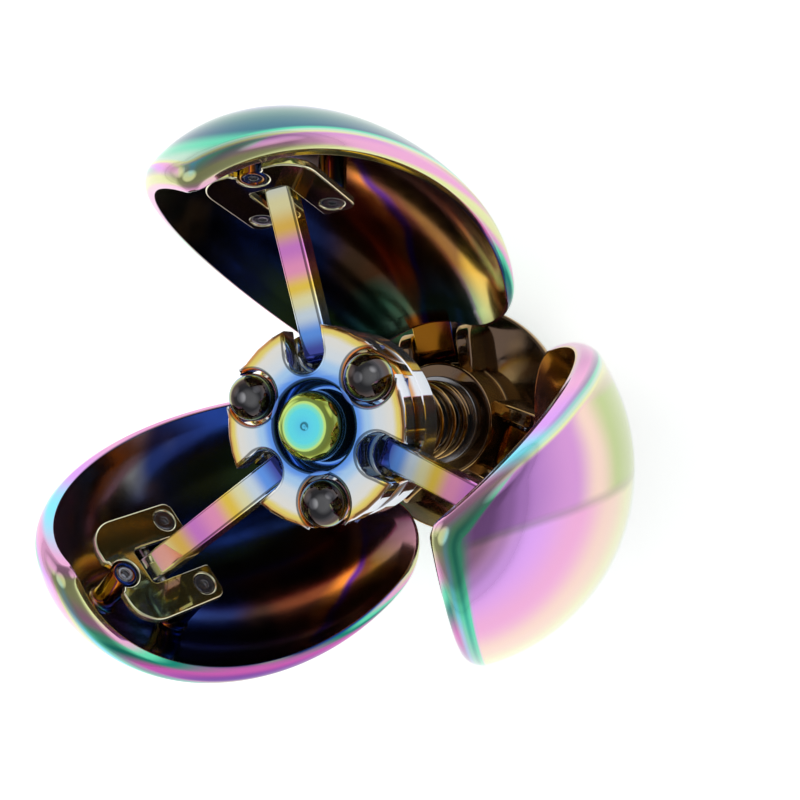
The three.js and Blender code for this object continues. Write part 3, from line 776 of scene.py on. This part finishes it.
def coil_height(t):
    """Height along the spring from 0 to 1: its end turns lie flatter than the others."""
    flat = 1 / SPRING_TURNS
    flat_rise = 0.3
    if t < flat:
        return flat_rise * t
    if t > 1 - flat:
        return 1 - flat_rise * (1 - t)
    lead = flat_rise * flat
    return lead + (1 - 2 * lead) * (t - flat) / (1 - 2 * flat)


def make_spring(material):
    low, high = span("spring")
    low, high = low + SPRING_WIRE_R, high - SPRING_WIRE_R
    r = radius_of("spring") - SPRING_WIRE_R
    curve = bpy.data.curves.new("spring", "CURVE")
    curve.dimensions = "3D"
    curve.bevel_depth = SPRING_WIRE_R
    curve.bevel_resolution = 5
    curve.use_fill_caps = True
    spline = curve.splines.new("POLY")
    steps = SPRING_TURNS * SPRING_STEPS
    spline.points.add(steps)
    for k in range(steps + 1):
        t = k / steps
        a = 2 * math.pi * SPRING_TURNS * t
        height = low + (high - low) * coil_height(t)
        spline.points[k].co = (r * math.cos(a), r * math.sin(a), height, 1)
    mesh = smoothed(mesh_of_curve(curve))
    coil = piece("spring_coil", mesh, "rotor", ["spring"], material)
    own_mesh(coil)


# ---- materials ----
# the camera's back, up and right directions in the scene: colours laid out by how far a surface faces them
# are painted reflection, fixed as seen from the camera
VIEW_SIDE = Vector((0.428, -0.057, 0.902))
VIEW_TOP = Vector((0.146, 0.989, -0.007))
VIEW_RIGHT = Vector((0.892, -0.135, -0.432))
MIX_FIRST, MIX_SECOND, MIX_RESULT = 6, 7, 2     # the colour sockets of a Mix node

# ---- scales of the noise, in waves per metre ----
SWAY = 55.0
FINE_SWAY = 90.0
RIPPLE = 130.0
BALL_SWAY = 160.0
GRAIN = 300.0
SMEAR = 420.0


def node_of(tree, kind, **settings):
    node = tree.nodes.new(kind)
    for key, value in settings.items():
        setattr(node, key, value)
    return node


def math_of(tree, operation, *values):
    """A Math node over sockets and numbers."""
    node = node_of(tree, "ShaderNodeMath", operation=operation)
    for socket, value in zip(node.inputs, values):
        if isinstance(value, (int, float)):
            socket.default_value = value
        else:
            tree.links.new(value, socket)
    return node.outputs["Value"]


def remap(tree, value, low, high, to_low, to_high):
    """The value, carried from one range to another and held inside it."""
    node = node_of(tree, "ShaderNodeMapRange")
    tree.links.new(value, node.inputs["Value"])
    for name, number in zip(("From Min", "From Max", "To Min", "To Max"), (low, high, to_low, to_high)):
        node.inputs[name].default_value = number
    return node.outputs["Result"]


def noise(tree, scale, detail):
    """Object-space noise from 0 to 1."""
    where = node_of(tree, "ShaderNodeTexCoord")
    node = node_of(tree, "ShaderNodeTexNoise")
    node.inputs["Scale"].default_value = scale
    node.inputs["Detail"].default_value = detail
    tree.links.new(where.outputs["Object"], node.inputs["Vector"])
    return node.outputs["Fac"]


def dot_with(tree, socket, direction):
    """How far a unit vector points along a fixed direction, from -1 to 1."""
    node = node_of(tree, "ShaderNodeVectorMath", operation="DOT_PRODUCT")
    node.inputs[1].default_value = direction.normalized()
    tree.links.new(socket, node.inputs[0])
    return node.outputs["Value"]


def lean(tree, direction):
    """How far the surface faces a fixed direction of the piece, from -1 to 1."""
    return dot_with(tree, node_of(tree, "ShaderNodeTexCoord").outputs["Normal"], direction)


def painted(tree, name):
    """A number that the mesh carries."""
    return node_of(tree, "ShaderNodeAttribute", attribute_name=name).outputs["Fac"]


def swayed(tree, value, amount, scale=SWAY):
    """The value, pushed up and down by slow noise, as an uneven coat is."""
    return math_of(tree, "ADD", value, remap(tree, noise(tree, scale, 2.0), 0.25, 0.75, -amount, amount))


def bands(tree, value, stops):
    """Colours at stops along the value, blended between them."""
    node = node_of(tree, "ShaderNodeValToRGB")
    ramp = node.color_ramp
    ramp.interpolation = "EASE"
    while len(ramp.elements) < len(stops):
        ramp.elements.new(0.5)
    for element, (position, colour) in zip(ramp.elements, stops):
        element.position = position
        element.color = (*colour, 1)
    tree.links.new(value, node.inputs["Fac"])
    return node.outputs["Color"]


def mixed(tree, share, first, second):
    """The first colour, with a share of the second laid over it; the second is a socket or a fixed colour."""
    node = node_of(tree, "ShaderNodeMix", data_type="RGBA")
    tree.links.new(share, node.inputs["Factor"])
    tree.links.new(first, node.inputs[MIX_FIRST])
    if isinstance(second, tuple):
        node.inputs[MIX_SECOND].default_value = (*second, 1)
    else:
        tree.links.new(second, node.inputs[MIX_SECOND])
    return node.outputs[MIX_RESULT]


METALLIC = 0.9              # the rest is a glassy coat, which the thin film tints
COAT_IOR = 5.0
FILM_IOR = 1.9
FILM = 430.0                # film thickness in nanometres, where a piece has one
INNER_FACE = (0.7, 1.0)     # depths in the wall between which the coat gives way to duller metal
INNER_DULLNESS = 0.10


def polished(name, colour_of, film=0.0, roughness=0.05, ripple=0.005, bare_inside=False):
    """Polished metal: its colour from colour_of(tree), a faint smear in its gloss and a slow ripple."""
    material = bpy.data.materials.new(name)
    material.use_nodes = True
    tree = material.node_tree
    shader = tree.nodes["Principled BSDF"]
    shader.inputs["Metallic"].default_value = METALLIC
    shader.inputs["IOR"].default_value = COAT_IOR
    shader.inputs["Thin Film Thickness"].default_value = film
    shader.inputs["Thin Film IOR"].default_value = FILM_IOR
    tree.links.new(colour_of(tree), shader.inputs["Base Color"])
    gloss = remap(tree, noise(tree, SMEAR, 4.0), 0.35, 0.75, roughness * 0.5, roughness * 1.6)
    if bare_inside:
        depth = painted(tree, "depth")
        tree.links.new(remap(tree, depth, *INNER_FACE, METALLIC, 1.0), shader.inputs["Metallic"])
        gloss = math_of(tree, "ADD", gloss, remap(tree, depth, *INNER_FACE, 0, INNER_DULLNESS))
    tree.links.new(gloss, shader.inputs["Roughness"])
    bump = node_of(tree, "ShaderNodeBump")
    bump.inputs["Strength"].default_value = ripple
    bump.inputs["Distance"].default_value = 1 * MM
    tree.links.new(noise(tree, RIPPLE, 1.0), bump.inputs["Height"])
    tree.links.new(bump.outputs["Normal"], shader.inputs["Normal"])
    return material


VIOLET = (0.66, 0.30, 0.80)
PINK = (0.76, 0.34, 0.58)
PEACH = (0.80, 0.56, 0.46)
YELLOW = (0.70, 0.70, 0.34)
PALE_MINT = (0.48, 0.66, 0.52)
MINT = (0.12, 0.60, 0.38)
CYAN = (0.22, 0.72, 0.88)
TEAL = (0.01, 0.17, 0.14)
PALE = (0.50, 0.56, 0.54)
SLATE = (0.03, 0.13, 0.19)
NAVY = (0.012, 0.024, 0.12)
BLUE = (0.015, 0.045, 0.26)
BLACK = (0.05, 0.020, 0.012)
MAROON = (0.22, 0.05, 0.015)
BROWN = (0.26, 0.10, 0.008)
GOLD = (0.80, 0.46, 0.03)
ORANGE = (0.95, 0.28, 0.03)
PURPLE = (0.15, 0.02, 0.28)
ORCHID = (0.58, 0.24, 0.56)
PLUM = (0.40, 0.14, 0.50)
OLIVE = (0.40, 0.50, 0.14)
SEA = (0.05, 0.38, 0.27)
INDIGO = (0.05, 0.07, 0.30)
MAGENTA = (0.50, 0.06, 0.36)
SILVER = (0.60, 0.60, 0.62)
GREY = (0.22, 0.22, 0.21)
MIRRORED_HORIZON_OLIVE = (0.14, 0.15, 0.08)


def outer_face(tree):
    """Painted reflection: violet to yellow to pale as the face turns away from the camera, and deeper colours
    above a wavy dark olive line, a painted reflection of where the mirrored floor meets the darker room.
    """
    facing = swayed(tree, lean(tree, VIEW_SIDE), 0.03)
    face = bands(tree, facing, [
        (0.06, PALE), (0.20, PALE_MINT), (0.34, YELLOW), (0.50, PEACH), (0.66, PINK), (0.84, VIOLET),
        (0.96, PINK)])
    deep = bands(tree, facing, [
        (0.16, PALE), (0.26, OLIVE), (0.44, OLIVE), (0.58, PEACH), (0.70, ORCHID), (0.90, PLUM)])
    slope = math_of(tree, "MULTIPLY", lean(tree, VIEW_RIGHT), 0.3)
    line = math_of(tree, "SUBTRACT", swayed(tree, lean(tree, VIEW_TOP), 0.04), slope)
    face = mixed(tree, remap(tree, line, -0.32, -0.26, 0, 1), face, deep)
    # painted reflection: a dark olive line where the mirrored floor meets the darker room above it
    from_line = math_of(tree, "ABSOLUTE", math_of(tree, "ADD", line, 0.29))
    return mixed(tree, remap(tree, from_line, 0.0, 0.04, 0.35, 0), face, MIRRORED_HORIZON_OLIVE)


def outer_bands(tree):
    """The outer face's colours as painted reflection, with rainbow bands where it faces the camera's left and
    dark greens where it faces the camera's up.
    """
    left = remap(tree, swayed(tree, lean(tree, VIEW_RIGHT), 0.03), 0.22, -0.90, 0, 1)
    left_face = bands(tree, left, [
        (0.00, VIOLET), (0.07, MINT), (0.20, SEA), (0.32, MINT), (0.48, CYAN), (0.60, PALE_MINT),
        (0.70, YELLOW), (0.82, PINK), (0.92, VIOLET), (1.00, MINT)])
    face = mixed(tree, remap(tree, left, 0.0, 0.07, 0, 1), outer_face(tree), left_face)
    top = swayed(tree, lean(tree, VIEW_TOP), 0.04)
    top_face = bands(tree, top, [
        (0.40, PINK), (0.50, YELLOW), (0.60, PALE_MINT), (0.68, MINT), (0.76, SLATE), (0.90, TEAL),
        (0.97, INDIGO), (1.00, PLUM)])
    return mixed(tree, remap(tree, top, 0.40, 0.50, 0, 1), face, top_face)


def lip_bands(tree):
    """A whole rainbow round the lip, slanting a little across it: painted reflection, laid out against the
    camera's up.
    """
    round_rim = remap(tree, painted(tree, "rim"), -1, 1, 0.0, 0.76)
    across = remap(tree, lean(tree, VIEW_TOP), -1, 1, 0.0, 0.24)
    return bands(tree, swayed(tree, math_of(tree, "ADD", round_rim, across), 0.03), [
        (0.00, PLUM), (0.12, PURPLE), (0.23, MAGENTA), (0.30, TEAL), (0.34, MINT), (0.39, PINK),
        (0.46, YELLOW), (0.51, YELLOW), (0.57, PINK), (0.64, PINK), (0.71, CYAN), (0.80, VIOLET),
        (0.90, PINK), (1.00, MAGENTA)])


def inner_bands(tree):
    """Near black, with gold, maroon, orange, purple and navy bands from one side to the other: painted
    reflections, gold where the face turns to the camera's left and grey to silver where it turns to its
    right.
    """
    across = swayed(tree, remap(tree, lean(tree, VIEW_RIGHT), -1, 1, 0, 1), 0.10)
    return bands(tree, across, [
        (0.00, GOLD), (0.16, GOLD), (0.24, BROWN), (0.34, BROWN), (0.38, MAROON), (0.405, PURPLE),
        (0.43, ORANGE), (0.49, MAROON), (0.56, BLACK), (0.64, NAVY), (0.78, BLUE), (0.88, NAVY),
        (0.94, GREY), (1.00, SILVER)])


def shell_colour(tree):
    """Outside, lip and inside, told apart by the depth in the wall."""
    depth = painted(tree, "depth")
    outside = mixed(tree, remap(tree, depth, 0.02, 0.20, 0, 1), outer_bands(tree), lip_bands(tree))
    return mixed(tree, remap(tree, depth, 0.78, 0.92, 0, 1), outside, inner_bands(tree))


def hub_colour(tree):
    """Blue round the cup, pale, gold at the rim, then silver-white and navy down the side."""
    return bands(tree, swayed(tree, painted(tree, "tone"), 0.02), [
        (0.00, (0.03, 0.08, 0.35)), (0.07, (0.10, 0.32, 0.92)), (0.22, (0.40, 0.64, 0.94)),
        (0.38, (0.72, 0.79, 0.85)), (0.60, (0.82, 0.81, 0.76)), (0.70, (0.84, 0.68, 0.14)),
        (0.77, (0.60, 0.26, 0.06)), (0.81, (0.70, 0.72, 0.78)), (0.93, (0.62, 0.66, 0.74)),
        (1.00, (0.03, 0.05, 0.20))])


def cap_colour(tree):
    """Blue in the middle, then cyan and green to dark olive down the side."""
    return bands(tree, painted(tree, "tone"), [
        (0.00, (0.03, 0.35, 0.70)), (0.05, (0.08, 0.66, 0.95)), (0.45, (0.10, 0.78, 0.90)),
        (0.58, (0.20, 0.85, 0.62)), (0.68, (0.60, 0.88, 0.20)), (0.85, (0.50, 0.62, 0.08)),
        (1.00, (0.12, 0.20, 0.04))])


def strut_colour(tree):
    """Navy and blue at the hub, then pale, yellow, gold, pink, purple, orange-brown and pale at the petal."""
    return bands(tree, swayed(tree, painted(tree, "tone"), 0.04), [
        (0.00, (0.03, 0.05, 0.40)), (0.10, (0.10, 0.32, 0.92)), (0.20, (0.62, 0.74, 0.85)),
        (0.29, (0.80, 0.76, 0.42)), (0.38, (0.84, 0.58, 0.04)), (0.50, (0.82, 0.28, 0.50)),
        (0.63, (0.60, 0.17, 0.58)), (0.76, (0.72, 0.44, 0.05)), (0.88, (0.72, 0.66, 0.34)),
        (1.00, (0.56, 0.60, 0.56))])


def bracket_colour(tree):
    """Navy, gold and brown faces by how far they face the camera, as painted reflection, and a painted
    highlight on the rounded edges.
    """
    face = bands(tree, swayed(tree, remap(tree, lean(tree, VIEW_SIDE), -1, 1, 0, 1), 0.12, FINE_SWAY), [
        (0.00, NAVY), (0.40, (0.36, 0.24, 0.05)), (0.62, (0.14, 0.07, 0.05)), (0.80, (0.45, 0.36, 0.10)),
        (1.00, (0.12, 0.22, 0.20))])
    return mixed(tree, painted(tree, "edge"), face, (0.95, 0.90, 0.66))


def bronze_colour(tree):
    """Dark bronze, with a painted golden highlight where it partly faces the camera."""
    return bands(tree, swayed(tree, remap(tree, lean(tree, VIEW_SIDE), -1, 1, 0, 1), 0.15, FINE_SWAY), [
        (0.00, (0.03, 0.012, 0.004)), (0.50, (0.16, 0.075, 0.02)), (0.72, (0.40, 0.23, 0.05)),
        (1.00, (0.10, 0.05, 0.02))])


def ball_colour(tree):
    """Near black, with a painted reflection in the grey middle that faces the camera, and rainbow patches
    round the limb, also painted reflection.
    """
    return bands(tree, swayed(tree, remap(tree, lean(tree, VIEW_SIDE), -1, 1, 0, 1), 0.06, BALL_SWAY), [
        (0.50, ORANGE), (0.58, MAGENTA), (0.65, (0.10, 0.34, 0.44)), (0.72, (0.34, 0.36, 0.12)),
        (0.79, BLACK), (0.94, (0.04, 0.04, 0.05)), (1.00, (0.34, 0.34, 0.36))])


def steel_colour(tree):
    """Dark grey, a little uneven."""
    return bands(tree, noise(tree, GRAIN, 3.0), [(0.3, (0.22, 0.23, 0.26)), (0.7, (0.32, 0.32, 0.34))])


def make_materials():
    return {
        "shell": polished("rainbow_shell", shell_colour, film=FILM, ripple=0.004, bare_inside=True),
        "hub": polished("rainbow_hub", hub_colour),
        "cap": polished("rainbow_cap", cap_colour),
        "strut": polished("rainbow_strut", strut_colour),
        "bracket": polished("rainbow_bracket", bracket_colour, film=FILM),
        "bronze": polished("bronze_coat", bronze_colour, roughness=0.10),
        "ball": polished("mirror_ball", ball_colour, roughness=0.03, ripple=0.0),
        "steel": polished("dark_steel", steel_colour, roughness=0.16),
    }


# ---- the studio ----
CAMERA_RIGHT = Vector((0.8981, -0.0834, -0.4318))
CAMERA_UP = Vector((0.0891, 0.996, -0.007))
CAMERA_BACK = Vector((0.4306, -0.0322, 0.9019))
CAMERA_PLACE = Vector((6.27, -0.228, 11.126))   # from the middle of the hub's face, in hub radii
CAMERA_PHASE = math.radians(-3.308)             # how far the camera is turned round the flower


def make_camera():
    data = bpy.data.cameras.new("camera")
    data.lens = 58.8
    data.sensor_width = 36
    data.clip_start = 5 * MM
    camera = linked("camera", data)
    turn = Matrix.Rotation(CAMERA_PHASE, 3, "Z")
    axes = Matrix((turn @ CAMERA_RIGHT, turn @ CAMERA_UP, turn @ CAMERA_BACK)).transposed()
    place = turn @ CAMERA_PLACE * HUB_R + Vector((0, 0, HUB_FACE_Z))
    camera.matrix_world = Matrix.Translation(place) @ axes.to_4x4()
    bpy.context.scene.camera = camera


def make_floor():
    """A plain pale floor that glows a little, so that it stays white under soft light."""
    half = 2
    material = bpy.data.materials.new("floor")
    material.use_nodes = True
    shader = material.node_tree.nodes["Principled BSDF"]
    shader.inputs["Base Color"].default_value = (0.9, 0.9, 0.9, 1)
    shader.inputs["Roughness"].default_value = 0.7
    shader.inputs["Emission Color"].default_value = (1, 1, 1, 1)
    shader.inputs["Emission Strength"].default_value = 0.55
    corners = [(-half, -half, 0), (half, -half, 0), (half, half, 0), (-half, half, 0)]
    floor = linked("floor", mesh_from("floor", corners, [(0, 1, 2, 3)]))
    floor.data.materials.append(material)


def make_softbox():
    """A soft light overhead that lights the floor and is not itself mirrored."""
    place = Vector((-0.1, 0.1, 0.9))
    aim = Vector((0, 0, 0.03))
    data = bpy.data.lights.new("overhead", "AREA")
    data.shape = "SQUARE"
    data.size = 1.4
    data.energy = 5.5
    light = linked("overhead", data)
    light.location = place
    light.rotation_mode = "QUATERNION"
    light.rotation_quaternion = (aim - place).to_track_quat("-Z", "Y")
    light.visible_glossy = False


# cards that the metal mirrors: direction, half angle of the bright part and of its edge in degrees, strength
CARDS = (
    (Vector((-0.43, 0.06, 0.90)), 17, 27, 0.62),
    (Vector((-0.80, 0.45, 0.45)), 4, 20, 0.7),
    (Vector((0.75, 0.55, 0.50)), 3, 20, 0.7),
)
# brightness of the room from straight below at 0 to straight above at 1
SKY = ((0.00, 0.90), (0.52, 0.90), (0.60, 0.60), (0.70, 0.30), (0.85, 0.24), (1.00, 0.20))


def make_studio():
    """A pale room with soft cards for the metal to mirror; the camera sees it plain white."""
    world = bpy.data.worlds.new("studio")
    bpy.context.scene.world = world
    world.use_nodes = True
    tree = world.node_tree
    toward = node_of(tree, "ShaderNodeTexCoord").outputs["Generated"]
    height = dot_with(tree, toward, Vector((0, 0, 1)))
    sky = bands(tree, remap(tree, height, -1, 1, 0, 1), [(p, (v, v, v)) for p, v in SKY])
    light = node_of(tree, "ShaderNodeSeparateColor")
    tree.links.new(sky, light.inputs["Color"])
    total = light.outputs["Red"]
    for direction, bright, edge, strength in CARDS:
        outer, inner = math.cos(math.radians(edge)), math.cos(math.radians(bright))
        card = remap(tree, dot_with(tree, toward, direction), outer, inner, 0, strength)
        total = math_of(tree, "ADD", total, card)
    seen = node_of(tree, "ShaderNodeLightPath")
    total = math_of(tree, "MAXIMUM", total, seen.outputs["Is Camera Ray"])
    back = tree.nodes["Background"]
    back.inputs["Color"].default_value = (1, 1, 1, 1)
    tree.links.new(total, back.inputs["Strength"])
    bpy.context.scene.view_settings.view_transform = "Standard"


def build():
    make_camera()
    make_studio()
    make_softbox()
    make_floor()
    metal = make_materials()
    for i in range(PETALS):
        make_petal(i, metal["shell"])
        make_bracket(i, metal["bracket"])
        make_bracket_screws(i, metal["steel"])
        make_strut(i, metal["strut"], metal["steel"])
        make_hinge_pin(i, metal["steel"])
    make_hub_front(metal["hub"])
    make_hub_rear(metal["hub"])
    make_hub_balls(metal["ball"])
    make_washers(metal["steel"])
    make_shaft(metal["steel"])
    make_cap(metal["cap"])
    make_pad(metal["shell"])
    make_carrier(metal["bronze"])
    make_spring(metal["bronze"])
    for node in ("bearing_inner_race", "bearing_outer_race", "bearing_balls"):
        slots = frame["nodes"][node].data.materials
        slots.clear()
        slots.append(metal["steel"])


build()
